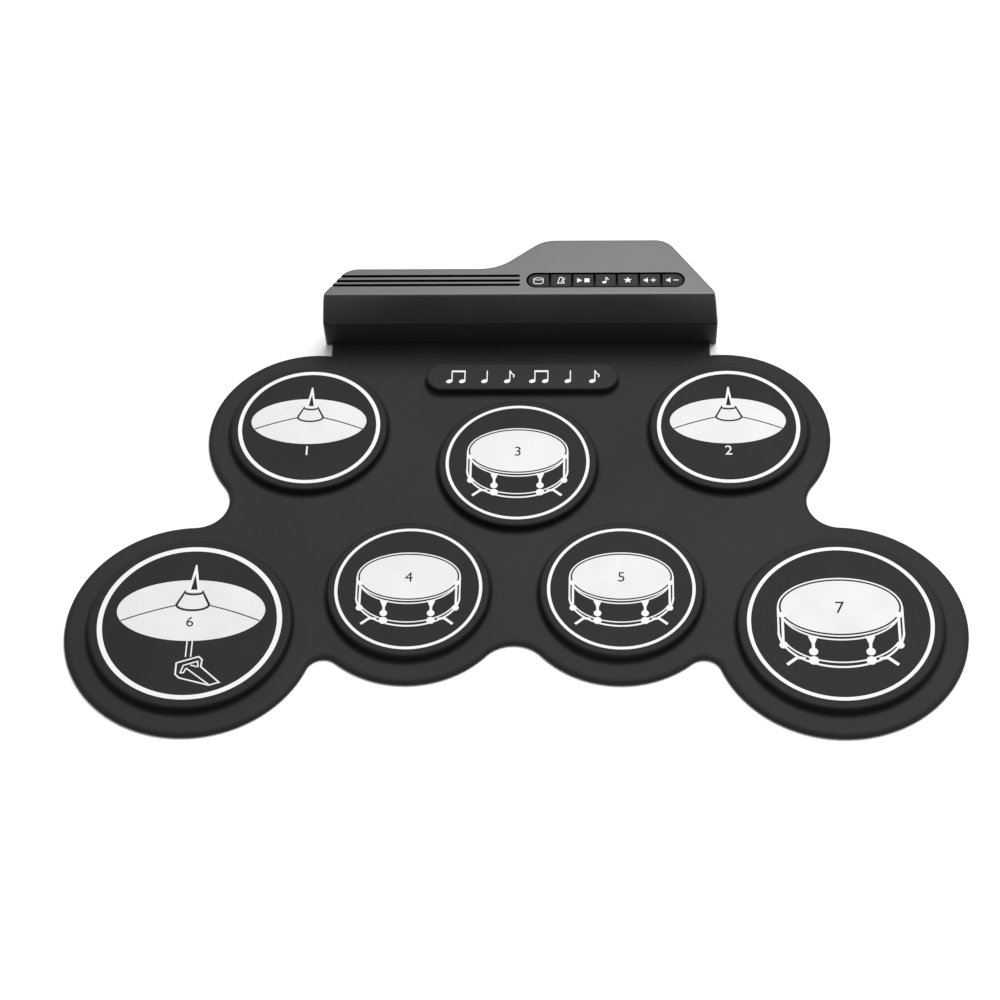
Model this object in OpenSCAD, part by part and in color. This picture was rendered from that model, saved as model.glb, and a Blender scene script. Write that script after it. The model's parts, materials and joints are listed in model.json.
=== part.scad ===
// Roll-up electronic drum pad. A thin silicone mat carries seven raised striking pads,
// and a plastic controller with seven keys is clamped to the mat's back edge.
// X runs to the player's right, Y away from the player and Z up.
// The origin is on the table, under the middle of the whole outline.

/* [Pads] */
// Radius of the five small striking pads
small_pad_r = 41; // [39:0.5:42]
// Radius of the two large striking pads, hi-hat and floor tom
large_pad_r = 51; // [48:0.5:52]
// Height of the pad tops above the mat
pad_rise = 5; // [4.6:0.1:6]
// How far a pad sinks when it is struck hard
pad_travel = 1; // [0.6:0.1:1]

/* [Pad layout] */
// Crash and ride, distance either side of the middle
crash_x = 109.2; // [108:0.2:111]
// Crash and ride, distance behind the origin
crash_y = 42.9; // [42:0.1:44]
// High tom, on the middle line
high_tom_y = 19.6; // [18:0.2:21]
// Snare and mid tom, distance either side of the middle
snare_x = 53.3; // [52:0.1:54]
// Snare and mid tom, in front of the origin
snare_y = -60.5; // [-61:0.1:-59]
// Hi-hat and floor tom, distance either side of the middle
hat_x = 161.6; // [160:0.2:163]
// Hi-hat and floor tom, in front of the origin
hat_y = -81.3; // [-82:0.1:-80]

/* [Mat] */
// Thickness of the mat, both silicone layers and the film between them
mat_t = 3; // [2.8:0.1:3.4]
// Thickness of the silicone sheet underneath
base_t = 1; // [0.8:0.1:1.2]
// Thickness of the printed sensor film
film_t = 0.3; // [0.2:0.1:0.4]
// Radius of the outline round the hi-hat and the floor tom
large_lobe_r = 63.6; // [63:0.2:64]
// Radius of the outline round the snare and the mid tom
snare_lobe_r = 53.4; // [53:0.1:54]
// Radius of the outline round the crash and the ride
crash_lobe_r = 55; // [54:0.2:56]
// Half the width of the neck that runs into the controller
neck_half_w = 100.8; // [98:0.2:101]
// Length of the raised label bar
label_l = 101; // [90:1:110]
// Width of the raised label bar
label_w = 17.4; // [14:0.2:18]

/* [Controller] */
// Height of the controller's top face above the table
ctrl_h = 41; // [41:0.5:43]
// Height of the line where the two shells meet
split_z = 19; // [19:0.1:19.4]
// Half the controller's length
ctrl_half_l = 104.9; // [104.5:0.1:106]
// Front face of the controller at the shell line
ctrl_front_y = 103.3; // [103:0.1:103.6]
// Back face of the deep right-hand end
ctrl_back_y = 144.9; // [144.4:0.1:145.4]
// Back face of the shallow left-hand end
ctrl_step_y = 123.7; // [123.4:0.1:124]
// Wall thickness of both shells
wall = 2; // [1.8:0.1:2.2]

/* [Keys] */
// Left end of the key window
window_x = 3.7; // [3:0.1:4.4]
// Length of the key window
window_l = 83.4; // [82:0.2:84]
// Width of the key window
window_w = 10.4; // [10:0.1:10.8]
// Spacing of the dividing lines between the keys
key_pitch = 11.7; // [11.4:0.1:11.8]
// How far a key sinks when it is pressed
key_travel = 1; // [0.6:0.1:1]

/* [Hidden] */
$fn = 64;

SILICONE = "#2b2b2c";
SILICONE_INNER = "#3a3a3c";
SHELL = "#4a4a4c";
SHELL_DARK = "#262627";
KEY = "#1c1c1d";
BOARD = "#1f5a38";
STEEL = "#b9bcc0";
COPPER = "#b5793a";
FOAM = "#6d6d6f";
EPS = 0.01;
GAP = 0.3;

// Places of the pads
CRASH = [-crash_x, crash_y];
RIDE = [crash_x, crash_y];
HIGH_TOM = [0, high_tom_y];
SNARE = [-snare_x, snare_y];
MID_TOM = [snare_x, snare_y];
HI_HAT = [-hat_x, hat_y];
FLOOR_TOM = [hat_x, hat_y];
SMALL_PADS = [CRASH, RIDE, HIGH_TOM, SNARE, MID_TOM];
LARGE_PADS = [HI_HAT, FLOOR_TOM];

// Heights in the mat
film_z = base_t;
skin_z = base_t + film_t;
pad_top = mat_t + pad_rise;
pad_skin_t = 2.2;
pad_wall_t = 2.5;
pad_foot = skin_z + pad_travel + 0.1;
foam_top = pad_top - pad_skin_t;
film_margin = 5;

// Mat outline: the right-hand lobes and the hollows between them
crash_lobe = [crash_x - 2, crash_y - 1.2];
side_hollow_r = 17;
front_hollow_r = 8.9;
middle_hollow_r = 18.3;
hinge_y = 100;
hinge_gap = 0.1;
label_mid = [1.4, 76.8];

// Mat neck inside the controller
floor_z = 0.6;
floor_top = 2.4;
tongue_t = 1.8;
tongue_slack = 0.05;
tongue_y = 115;
tongue_half_w = 94;
notch_x = [15.2, 80.5];
notch_y = 106.9;
neck_end_y = ctrl_front_y + 2.8;
tongue_start_y = ctrl_front_y + 2.4;
tail_rise_y = [ctrl_front_y + 2.45, ctrl_front_y + 2.75];
tail_x = [-9, 9];
tail_z = floor_top + 0.7;
clamp_t = 3;
clamp_y = [107.2, 114.6];
clamp_screw_x = [-88, -52, -16, 12.1, 86];
clamp_screw_y = 111;
clamp_end_x = [-93, 14.8, 81.5, 90.5];
boss_r = 2.6;
board_post_r = 2.2;

// Controller shells. The drafts are the sizes of the top and bottom outlines beside the shell line's.
mid_y = (ctrl_front_y + ctrl_back_y) / 2;
top_draft = [0.984, 0.9375];
bottom_draft = [0.997, 0.923];
edge_h = 0.8;
edge_draft = [0.9935, 0.965];
ceiling_z = ctrl_h - wall;
tab_xs = [-75, -30, 30, 62];
tab_h = 1.5;
SHELL_CORNERS = [
    [-ctrl_half_l, ctrl_front_y], [ctrl_half_l, ctrl_front_y], [ctrl_half_l - 0.5, ctrl_front_y + 3],
    [79.1, ctrl_back_y], [12.6, ctrl_back_y], [-12, ctrl_step_y], [-92.7, ctrl_step_y],
    [-ctrl_half_l + 0.6, ctrl_front_y + 2.6]];
SHELL_RADII = [1.2, 1.2, 6, 12, 18, 26, 12, 6];
case_posts = [[-88, 118.2], [-35, 118.2], [8, 131.5], [79.5, 130.5], [94.5, 109.8]];
post_r = 3;
case_screw_r = 1.25;
groove_w = 1.6;
groove_d = 1.2;
groove_ys = [118.1, 114.8, 111.8];
foot_r = 4;
foot_recess = 0.8;
feet_at = [[-94, 111], [-45, 119], [78.2, 113], [14.6, 134], [86, 121]];

// Keys
window_y = 115;
key_gap = 0.5;
end_key_l = (window_l - 5 * key_pitch) / 2;
key_top = ctrl_h - 0.2;
flange_top = ceiling_z - 0.15;
flange_t = 1.4;
key_board_z = 31.4;
board_t = 1.6;
membrane_t = 0.8;
membrane_z = key_board_z + board_t;
dome_z = membrane_z + membrane_t;
stem_foot = dome_z + 1.4 + key_travel;
key_board_posts = [[-3, 115], [22, 124.3], [51, 124.3], [80, 124.3]];
key_post_r = 2.4;

// Main board, with the sockets on its back edge
main_board_z = 18.6;
main_board_top = main_board_z + board_t;
board_posts = [[17.5, 111], [17.5, 137.6], [75.2, 111], [75.2, 137.6]];
small_screw_r = 1.05;
jack_z = 23.4;
jack_xs = [27, 38, 49, 60];
jack_bore_r = 1.8;
jack_depth = 12;
jack_face_y = 142.2;
jack_hole_r = 3.4;
usb_x = 68.6;
usb_z = main_board_top + 1.65;
switch_x = -26;
switch_z = 11;
switch_travel = 3;

// Speaker, behind the slots at the back of the shallow end
speaker_x = -61.5;
speaker_z = 20.6;
speaker_r = 16.5;
speaker_face_y = 121.2;
slot_w = 1.6;
slot_pitch = 3.6;

// Battery bay for three AAA cells, open underneath
cell_r = 5.25;
cell_l = 44.5;
cell_pitch = 10.75;
bay_x = [20.6, 72.4];
bay_y = [109, 141.3];
bay_top = 14.6;
bay_roof = 1.4;
cell_z = 8.6;
cell_mid = [(bay_x[0] + bay_x[1]) / 2, (bay_y[0] + bay_y[1]) / 2];

// ---- Functions ----

function aim(from, to) = atan2(to.y - from.y, to.x - from.x);
function wrap(a) = a - 360 * floor(a / 360);

// Points along an arc, anticlockwise (way 1) or clockwise (way -1)
function arc(centre, r, from, to, way, steps) =
    let (sweep = way * wrap(way * (to - from)))
    [for (i = [0:steps]) let (a = from + sweep * i / steps) centre + r * [cos(a), sin(a)]];

// Centre of a circle that touches two others from outside, to one side of the line between them
function hollow(a, ra, b, rb, r, side) =
    let (v = b - a, d = norm(v), da = ra + r, db = rb + r)
    let (along = (da * da - db * db + d * d) / (2 * d))
    let (off = sqrt(da * da - along * along))
    a + v * along / d + side * off * [-v.y, v.x] / d;

side_hollow = hollow(FLOOR_TOM, large_lobe_r, crash_lobe, crash_lobe_r, side_hollow_r, -1);
front_hollow = hollow(MID_TOM, snare_lobe_r, FLOOR_TOM, large_lobe_r, front_hollow_r, -1);
middle_hollow = hollow(SNARE, snare_lobe_r, MID_TOM, snare_lobe_r, middle_hollow_r, -1);

// Right half of the mat's outline, from the front middle round to the neck
function half_outline(inset) = concat(
    arc(middle_hollow, middle_hollow_r + inset, 90, aim(middle_hollow, MID_TOM), -1, 5),
    arc(MID_TOM, snare_lobe_r - inset, aim(MID_TOM, middle_hollow), aim(MID_TOM, front_hollow), 1, 16),
    arc(front_hollow, front_hollow_r + inset, aim(front_hollow, MID_TOM),
        aim(front_hollow, FLOOR_TOM), -1, 7),
    arc(FLOOR_TOM, large_lobe_r - inset, aim(FLOOR_TOM, front_hollow), aim(FLOOR_TOM, side_hollow),
        1, 32),
    arc(side_hollow, side_hollow_r + inset, aim(side_hollow, FLOOR_TOM), aim(side_hollow, crash_lobe),
        -1, 10),
    arc(crash_lobe, crash_lobe_r - inset, aim(crash_lobe, side_hollow),
        90 + asin((crash_lobe.x - neck_half_w + inset) / (crash_lobe_r - inset)), 1, 24),
    [[neck_half_w - inset, hinge_y - hinge_gap - inset]]);

function mirrored(points) = [for (i = [len(points) - 1:-1:0]) [-points[i].x, points[i].y]];
function mat_outline(inset) = concat(half_outline(inset), mirrored(half_outline(inset)));

// Corners of a polygon moved inwards, and the same corners rounded
function inward(a, b) = let (v = b - a) [-v.y, v.x] / norm(v);
function around(list, i) = list[(i + len(list)) % len(list)];
function inset_corners(p, d) = [for (i = [0:len(p) - 1])
    let (n1 = inward(around(p, i - 1), p[i]), n2 = inward(p[i], around(p, i + 1)))
    p[i] + d * (n1 + n2) / (1 + n1 * n2)];
function bends_left(a, b, c) = (b.x - a.x) * (c.y - b.y) - (b.y - a.y) * (c.x - b.x) > 0;
function corner(a, b, c, r, steps) =
    let (u = (a - b) / norm(a - b), w = (c - b) / norm(c - b), half = acos(u * w) / 2)
    let (centre = b + (u + w) / norm(u + w) * r / sin(half), way = bends_left(a, b, c) ? 1 : -1)
    arc(centre, r, aim(centre, b + u * r / tan(half)), aim(centre, b + w * r / tan(half)), way, steps);
// The inside of the shells leaves out the two short end edges
function picked(list, inset) = inset > 0 ? [for (i = [0, 1, 3, 4, 5, 6]) list[i]] : list;
function shell_outline(inset) =
    let (p = inset_corners(picked(SHELL_CORNERS, inset), inset), radii = picked(SHELL_RADII, inset))
    [for (i = [0:len(p) - 1])
        let (a = around(p, i - 1), b = p[i], c = around(p, i + 1))
        let (r = max(1, radii[i] - (bends_left(a, b, c) ? inset : -inset)))
        each corner(a, b, c, r, 6)];

// ---- Shared shapes ----

// The shells' outline, growing narrower towards the far end
module drafted(inset, h, draft) {
    translate([0, mid_y, 0])
        linear_extrude(height = h, scale = draft, slices = 1)
            translate([0, -mid_y])
                polygon(shell_outline(inset));
}

// Upper block above the shell line
module upper_block(inset, h, draft) {
    translate([0, 0, split_z])
        drafted(inset, h, draft);
}

// Lower block, from the shell line down
module lower_block(inset, h, draft) {
    translate([0, 0, split_z])
        mirror([0, 0, 1])
            drafted(inset, h, draft);
}

module box(low, high) {
    translate(low)
        cube(high - low);
}

module at(places) {
    for (p = places)
        translate([p.x, p.y, 0])
            children();
}

module pin(r, low, high) {
    translate([0, 0, low])
        cylinder(r = r, h = high - low);
}

// A screw that points down: flat head above, shank below
module screw_down(r, head_r, head_t, under_head, tip) {
    pin(head_r, under_head, under_head + head_t);
    pin(r, tip, under_head + EPS);
}

// A screw that points up: head below, shank above
module screw_up(r, head_r, head_t, under_head, tip) {
    pin(head_r, under_head - head_t, under_head);
    pin(r, under_head - EPS, tip);
}

module stadium(l, w) {
    union() {
        translate([-(l - w) / 2, -w / 2])
            square([l - w, w]);
        for (side = [-1, 1])
            translate([side * (l - w) / 2, 0])
                circle(r = w / 2);
    }
}

// A run of round wire through the given points
module wire(points, r) {
    for (i = [0:len(points) - 2])
        hull()
            for (p = [points[i], points[i + 1]])
                translate(p)
                    sphere(r = r, $fn = 10);
}

// Something round along Y, standing at x and z
module along_y(x, y, z) {
    translate([x, y, z])
        rotate([-90, 0, 0])
            children();
}

// ---- Mat ----

module mat_top_skin() {
    color(SILICONE)
        difference() {
            translate([0, 0, film_z])
                linear_extrude(height = mat_t - film_z)
                    polygon(mat_outline(0));
            translate([0, 0, film_z - 1])
                linear_extrude(height = film_t + 1)
                    polygon(film_points(0));
            at(SMALL_PADS)
                pin(small_pad_r + GAP, 0, mat_t + 1);
            at(LARGE_PADS)
                pin(large_pad_r + GAP, 0, mat_t + 1);
        }
}

module mat_base_sheet() {
    color(SILICONE)
        linear_extrude(height = base_t)
            polygon(mat_outline(0));
}

// The film stops short of the mat's edge, and its tail runs back through the neck
function film_points(inset) = concat(
    half_film(inset), [[tail_x[1], hinge_y - film_margin - hinge_gap], [tail_x[1], hinge_y],
    [tail_x[0], hinge_y], [tail_x[0], hinge_y - film_margin - hinge_gap]], mirrored(half_film(inset)));
function half_film(inset) = half_outline(film_margin + inset);

module sensor_film() {
    color(COPPER)
        translate([0, 0, film_z])
            linear_extrude(height = film_t)
                difference() {
                    polygon(film_points(0));
                    translate([-neck_half_w, hinge_y - hinge_gap])
                        square([2 * neck_half_w, 1]);
                }
}

module label_bar() {
    color(SILICONE)
        translate([label_mid.x, label_mid.y, mat_t])
            linear_extrude(height = pad_rise)
                stadium(label_l, label_w);
}

// A hollow silicone cap: flat striking face, round wall, open underneath
module pad_cap(place, r) {
    color(SILICONE)
        translate([place.x, place.y, 0])
            difference() {
                pin(r, pad_foot, pad_top);
                pin(r - pad_wall_t, pad_foot - 1, foam_top);
            }
}

module pad_foam(place, r) {
    color(FOAM)
        translate([place.x, place.y, 0])
            pin(r - pad_wall_t - GAP, skin_z, foam_top);
}

module pad_crash() pad_cap(CRASH, small_pad_r);
module pad_ride() pad_cap(RIDE, small_pad_r);
module pad_high_tom() pad_cap(HIGH_TOM, small_pad_r);
module pad_snare() pad_cap(SNARE, small_pad_r);
module pad_mid_tom() pad_cap(MID_TOM, small_pad_r);
module pad_hi_hat() pad_cap(HI_HAT, large_pad_r);
module pad_floor_tom() pad_cap(FLOOR_TOM, large_pad_r);
module foam_crash() pad_foam(CRASH, small_pad_r);
module foam_ride() pad_foam(RIDE, small_pad_r);
module foam_high_tom() pad_foam(HIGH_TOM, small_pad_r);
module foam_snare() pad_foam(SNARE, small_pad_r);
module foam_mid_tom() pad_foam(MID_TOM, small_pad_r);
module foam_hi_hat() pad_foam(HI_HAT, large_pad_r);
module foam_floor_tom() pad_foam(FLOOR_TOM, large_pad_r);

// ---- Neck, where the mat enters the controller ----

// Full thickness up to the shell, then a thinner tongue over the controller's floor.
// A notch in the tongue leaves room for the battery bay.
module mat_neck() {
    color(SILICONE)
        difference() {
            union() {
                box([-neck_half_w, hinge_y + hinge_gap, 0], [neck_half_w, neck_end_y, mat_t]);
                box([-tongue_half_w, tongue_start_y, floor_top + tongue_slack],
                    [tongue_half_w, tongue_y, floor_top + tongue_t]);
            }
            box([notch_x[0], notch_y, 0], [notch_x[1], tongue_y + 1, ctrl_h]);
            box([tail_x[0] - 0.1, hinge_y, film_z], [tail_x[1] + 0.1, tail_rise_y[1], skin_z]);
            box([tail_x[0] - 0.1, tail_rise_y[0], film_z], [tail_x[1] + 0.1, tail_rise_y[1], tail_z + film_t]);
            box([tail_x[0] - 0.1, tail_rise_y[0], tail_z], [tail_x[1] + 0.1, tongue_y + 1, tail_z + film_t]);
            translate([case_posts[4].x, case_posts[4].y, 0])
                pin(post_r + GAP, 0, ctrl_h);
            for (x = clamp_screw_x)
                translate([x, clamp_screw_y, 0])
                    pin(boss_r + GAP, 0, ctrl_h);
        }
}

// The film's tail runs through the neck, turns up behind the board and forward into its connector
module film_tail() {
    slack = 0.01;
    rise_y = [tail_rise_y[0] + slack, tail_rise_y[1] - slack];
    back = 122.6;
    top = main_board_top + 1;
    color(COPPER) {
        box([tail_x[0], hinge_y + hinge_gap, film_z + slack], [tail_x[1], rise_y[1], skin_z - slack]);
        box([tail_x[0], rise_y[0], film_z + slack], [tail_x[1], rise_y[1], tail_z + film_t - slack]);
        box([tail_x[0], rise_y[0], tail_z + slack], [tail_x[1], back, tail_z + film_t - slack]);
        box([tail_x[0], back - film_t, tail_z + slack], [tail_x[1], back, top]);
        box([tail_x[0], 120.5, top - film_t], [tail_x[1], back, top]);
    }
}

module neck_clamp_bar() {
    color(STEEL)
        difference() {
            for (i = [0, 2])
                box([clamp_end_x[i], clamp_y[0], floor_top + tongue_t],
                    [clamp_end_x[i + 1], clamp_y[1], floor_top + tongue_t + clamp_t]);
            for (x = clamp_screw_x)
                translate([x, clamp_screw_y, 0])
                    pin(small_screw_r + 0.25, 0, ctrl_h);
        }
}

module clamp_screws() {
    under_head = floor_top + tongue_t + clamp_t;
    color(STEEL)
        for (x = clamp_screw_x)
            translate([x, clamp_screw_y, 0])
                screw_down(small_screw_r, 2, 1.3, under_head, floor_z + 0.6);
}

// ---- Controller shells ----

// What both shells have cut through their back walls
module back_openings() {
    half = floor(speaker_r / slot_pitch);
    for (i = [-half:half])
        let (x = i * slot_pitch, reach = sqrt(pow(speaker_r - 1.5, 2) - x * x))
            box([speaker_x + x - slot_w / 2, speaker_face_y - 0.4, speaker_z - reach],
                [speaker_x + x + slot_w / 2, ctrl_step_y + 1, speaker_z + reach]);
}

module key_window() {
    translate([window_x + window_l / 2, window_y, ceiling_z - 1])
        linear_extrude(height = wall + 2)
            stadium(window_l, window_w);
}

module top_case() {
    inner = [for (i = [0, 1]) 1 + (top_draft[i] - 1) * (ceiling_z - split_z) / (ctrl_h - edge_h - split_z)];
    color(SHELL)
        difference() {
            union() {
                difference() {
                    union() {
                        upper_block(0, ctrl_h - edge_h - split_z, top_draft);
                        translate([0, mid_y, ctrl_h - edge_h])
                            linear_extrude(height = edge_h, scale = edge_draft, slices = 1)
                                scale(top_draft)
                                    translate([0, -mid_y])
                                        polygon(shell_outline(0));
                    }
                    translate([0, 0, -EPS])
                        upper_block(wall, ceiling_z - split_z, inner);
                }
                at(case_posts)
                    pin(post_r, split_z + 0.1, ceiling_z + EPS);
                at(key_board_posts)
                    pin(key_post_r, membrane_z + 0.05, ceiling_z + EPS);
            }
            at(case_posts)
                pin(case_screw_r + 0.05, split_z - 1, ceiling_z - 4);
            at(key_board_posts)
                pin(small_screw_r + 0.05, membrane_z - 1, ceiling_z - 0.6);
            key_window();
            for (y = groove_ys)
                box([-ctrl_half_l - 1, y - groove_w / 2, ctrl_h - groove_d],
                    [0.5, y + groove_w / 2, ctrl_h + 1]);
            for (x = jack_xs)
                along_y(x, jack_face_y + 0.1, jack_z)
                    cylinder(r = jack_hole_r, h = 6);
            box([usb_x - 4.7, jack_face_y + 0.1, usb_z - 2], [usb_x + 4.7, ctrl_back_y + 1, usb_z + 2]);
            back_openings();
        }
}

module bay_walls() {
    t = 1.4;
    difference() {
        box([bay_x[0] - t, bay_y[0] - t, floor_z + 0.5],
            [bay_x[1] + t, bay_y[1] + 1.6, bay_top + bay_roof]);
        box([bay_x[0], bay_y[0], floor_z - 1], [bay_x[1], bay_y[1], bay_top]);
    }
}

module bottom_case() {
    inner = [for (i = [0, 1]) 1 + (bottom_draft[i] - 1) * (split_z - floor_top) / (split_z - floor_z)];
    color(SHELL_DARK)
        difference() {
            union() {
                difference() {
                    lower_block(0, split_z - floor_z, bottom_draft);
                    translate([0, 0, EPS])
                        lower_block(wall, split_z - floor_top, inner);
                }
                for (x = tab_xs) {
                    box([x - 5, ctrl_front_y + 1, split_z - 4], [x + 5, ctrl_front_y + 3.4, split_z - 0.1]);
                    box([x - 5, ctrl_front_y + 2.3, split_z - 1], [x + 5, ctrl_front_y + 3.4, split_z + tab_h]);
                }
                at(case_posts)
                    pin(post_r, floor_top - EPS, split_z);
                at(board_posts)
                    pin(board_post_r, floor_top - EPS, main_board_z);
                for (x = clamp_screw_x)
                    translate([x, clamp_screw_y, 0])
                        pin(boss_r, floor_top - EPS, floor_top + tongue_t);
                bay_walls();
            }
            // Bay opening with a ledge for the door
            box([bay_x[0], bay_y[0], floor_z - 1], [bay_x[1], bay_y[1], floor_top + 1]);
            // Slot under the front wall for the neck
            box([-neck_half_w - GAP, ctrl_front_y - 2, floor_z - 1],
                [neck_half_w + GAP, neck_end_y + 0.2, mat_t + GAP]);
            box([-tongue_half_w - GAP, tongue_start_y - GAP, floor_top],
                [tongue_half_w + GAP, ctrl_front_y + 4.4, floor_top + tongue_t + 0.1]);
            at(case_posts) {
                pin(case_screw_r + 0.2, floor_z - 1, split_z + 1);
                pin(2.6, floor_z - 1, floor_top + 2);
            }
            at(board_posts)
                pin(small_screw_r + 0.05, main_board_z - 7, main_board_z + 1);
            for (x = clamp_screw_x)
                translate([x, clamp_screw_y, 0])
                    pin(small_screw_r + 0.05, floor_z + 0.5, floor_top + tongue_t + 1);
            at(feet_at)
                pin(foot_r + 0.05, floor_z - 1, floor_z + foot_recess);
            box([switch_x - 3.4, ctrl_step_y - 4, switch_z - 1.7],
                [switch_x + 3.4 + switch_travel, ctrl_step_y + 1, switch_z + 1.7]);
            back_openings();
        }
}

module case_screws() {
    color(STEEL)
        at(case_posts)
            screw_up(case_screw_r, 2.4, 1.6, floor_top + 2, split_z + 10);
}

module rubber_feet() {
    color(SILICONE)
        at(feet_at)
            pin(foot_r, 0, floor_z + foot_recess - 0.02);
}

// ---- Keys ----

// Left and right ends of key i, counted from 0 at the left
function key_left(i) = window_x + (i == 0 ? key_gap : end_key_l + (i - 1) * key_pitch + key_gap / 2);
function key_right(i) = window_x + (i == 6 ? window_l - key_gap : end_key_l + i * key_pitch - key_gap / 2);

// A key: a cap in the window, a flange that holds it under the ceiling, and a stem down to its dome
module key_cap(i) {
    l = key_left(i);
    r = key_right(i);
    cap_w = window_w - 2 * key_gap;
    stem_x = (l + r) / 2;
    color(KEY) {
        translate([0, window_y, flange_top - EPS])
            linear_extrude(height = key_top - flange_top + EPS)
                intersection() {
                    translate([window_x + window_l / 2, 0])
                        stadium(window_l - 2 * key_gap, cap_w);
                    translate([l, -cap_w / 2])
                        square([r - l, cap_w]);
                }
        box([l + 0.4, window_y - window_w / 2 - 0.9, flange_top - flange_t],
            [r - 0.4, window_y + window_w / 2 + 0.9, flange_top]);
        translate([stem_x, window_y, 0])
            pin(2, stem_foot, flange_top - EPS);
    }
}

module key_kit() key_cap(0);
module key_click() key_cap(1);
module key_play_stop() key_cap(2);
module key_demo() key_cap(3);
module key_special() key_cap(4);
module key_volume_up() key_cap(5);
module key_volume_down() key_cap(6);

module key_membrane() {
    color(SILICONE_INNER)
        box([window_x - 1, window_y - 5.6, membrane_z],
            [window_x + window_l + 1, window_y + 5.6, dome_z]);
}

module key_domes() {
    color(SILICONE_INNER)
        for (i = [0:6])
            translate([(key_left(i) + key_right(i)) / 2, window_y, dome_z])
                cylinder(r1 = 3.6, r2 = 2.2, h = stem_foot - dome_z);
}

module key_board() {
    color(BOARD)
        difference() {
            translate([0, 0, key_board_z])
                linear_extrude(height = board_t)
                    polygon([[-6, 107.4], [89, 107.4], [89, 118], [83.5, 127], [16, 127], [10, 122.6],
                        [-6, 120]]);
            at(key_board_posts)
                pin(small_screw_r + 0.2, 0, ctrl_h);
        }
}

module key_board_screws() {
    color(STEEL)
        at(key_board_posts)
            screw_up(small_screw_r, 2, 1.3, key_board_z, ceiling_z - 1);
}

// Flat ribbon from the key board down to the main board
module key_ribbon() {
    top = key_board_z - 0.1;
    low = main_board_top + 1.8;
    color(SILICONE_INNER)
        translate([34, 0, 0])
            rotate([90, 0, 90])
                linear_extrude(height = 12)
                    polygon([[125, top], [128.4, top], [128.4, low], [126, low], [126, low + 0.4],
                        [128, low + 0.4], [128, top - 0.4], [125, top - 0.4]]);
}

// ---- Electronics ----

module main_board() {
    color(BOARD)
        difference() {
            translate([0, 0, main_board_z])
                linear_extrude(height = board_t)
                    polygon([[-12, 107.6], [78.8, 107.6], [78.8, 126.5], [75.4, 126.5], [75.4, 134.6],
                        [78.2, 134.6], [78.2, 140], [76, 142], [14, 142], [14, 121], [-12, 121]]);
            at(board_posts)
                pin(small_screw_r + 0.2, 0, ctrl_h);
        }
}

module main_board_screws() {
    color(STEEL)
        at(board_posts)
            screw_down(small_screw_r, 2, 1.3, main_board_top, main_board_z - 6);
}

// The sound chip, its memory and the amplifier, with the two board-to-board sockets
module sound_chip() {
    color(KEY) {
        box([36, 112, main_board_top], [46, 122, main_board_top + 1.6]);
        box([52, 113, main_board_top], [58, 118, main_board_top + 1.5]);
        box([2, 110.5, main_board_top], [8, 114.5, main_board_top + 1.5]);
        box([33.5, 123.5, main_board_top], [46.5, 126, main_board_top + 3]);
        box([33.5, 124, key_board_z - 2.6], [46.5, 125, key_board_z]);
    }
}

module board_capacitors() {
    color(STEEL)
        for (x = [24, 62, 68])
            translate([x, 121, 0])
                pin(2.5, main_board_top, main_board_top + 8);
}

module flex_connector() {
    color(KEY)
        difference() {
            box([tail_x[0] - 1, 116.4, main_board_top], [tail_x[1] + 1, 120.8, main_board_top + 2]);
            box([tail_x[0] - 0.1, 120.4, main_board_top + 0.65], [tail_x[1] + 0.1, 121, main_board_top + 1.05]);
        }
}

// A 3.5 mm socket: square body on the board, round bore facing backwards
module jack(x) {
    difference() {
        box([x - 3.1, jack_face_y - jack_depth - 1.4, main_board_top], [x + 3.1, jack_face_y, jack_z + 3.2]);
        along_y(x, jack_face_y - jack_depth, jack_z)
            cylinder(r = jack_bore_r, h = jack_depth + 1);
    }
}

module phones_jack() {
    color(KEY)
        jack(jack_xs[0]);
}

module aux_jack() {
    color(KEY)
        jack(jack_xs[1]);
}

module pedal_jacks() {
    color(KEY)
        for (i = [2, 3])
            jack(jack_xs[i]);
}

module usb_socket() {
    color(STEEL)
        difference() {
            box([usb_x - 4.5, jack_face_y - 7, usb_z - 1.6], [usb_x + 4.5, jack_face_y + 1.4, usb_z + 1.6]);
            box([usb_x - 4.15, jack_face_y - 6, usb_z - 1.25], [usb_x + 4.15, jack_face_y + 2, usb_z + 1.25]);
        }
}

module switch_body() {
    color(STEEL)
        difference() {
            box([switch_x - 5.4, 113.6, switch_z - 3], [switch_x + 5.4 + switch_travel, 119.2, switch_z + 3]);
            box([switch_x - 2.6, 116.5, switch_z - 1.5],
                [switch_x + 2.6 + switch_travel, 120, switch_z + 1.5]);
        }
}

// The slider's finger grip stands 1.4 mm proud of the back wall
module switch_slider() {
    color(KEY)
        box([switch_x - 1.9, 117, switch_z - 1.2], [switch_x + 1.9, ctrl_step_y + 1, switch_z + 1.2]);
}

// ---- Speaker ----

module speaker_basket() {
    color(SHELL_DARK)
        along_y(speaker_x, 0, speaker_z)
            rotate_extrude()
                polygon([[speaker_r - 2.6, speaker_face_y], [speaker_r, speaker_face_y],
                    [speaker_r, speaker_face_y - 1.2], [speaker_r - 2, speaker_face_y - 1.4],
                    [8.8, speaker_face_y - 7.4], [6, speaker_face_y - 7.4], [6, speaker_face_y - 6.4],
                    [speaker_r - 2.6, speaker_face_y - 1]]);
}

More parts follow.
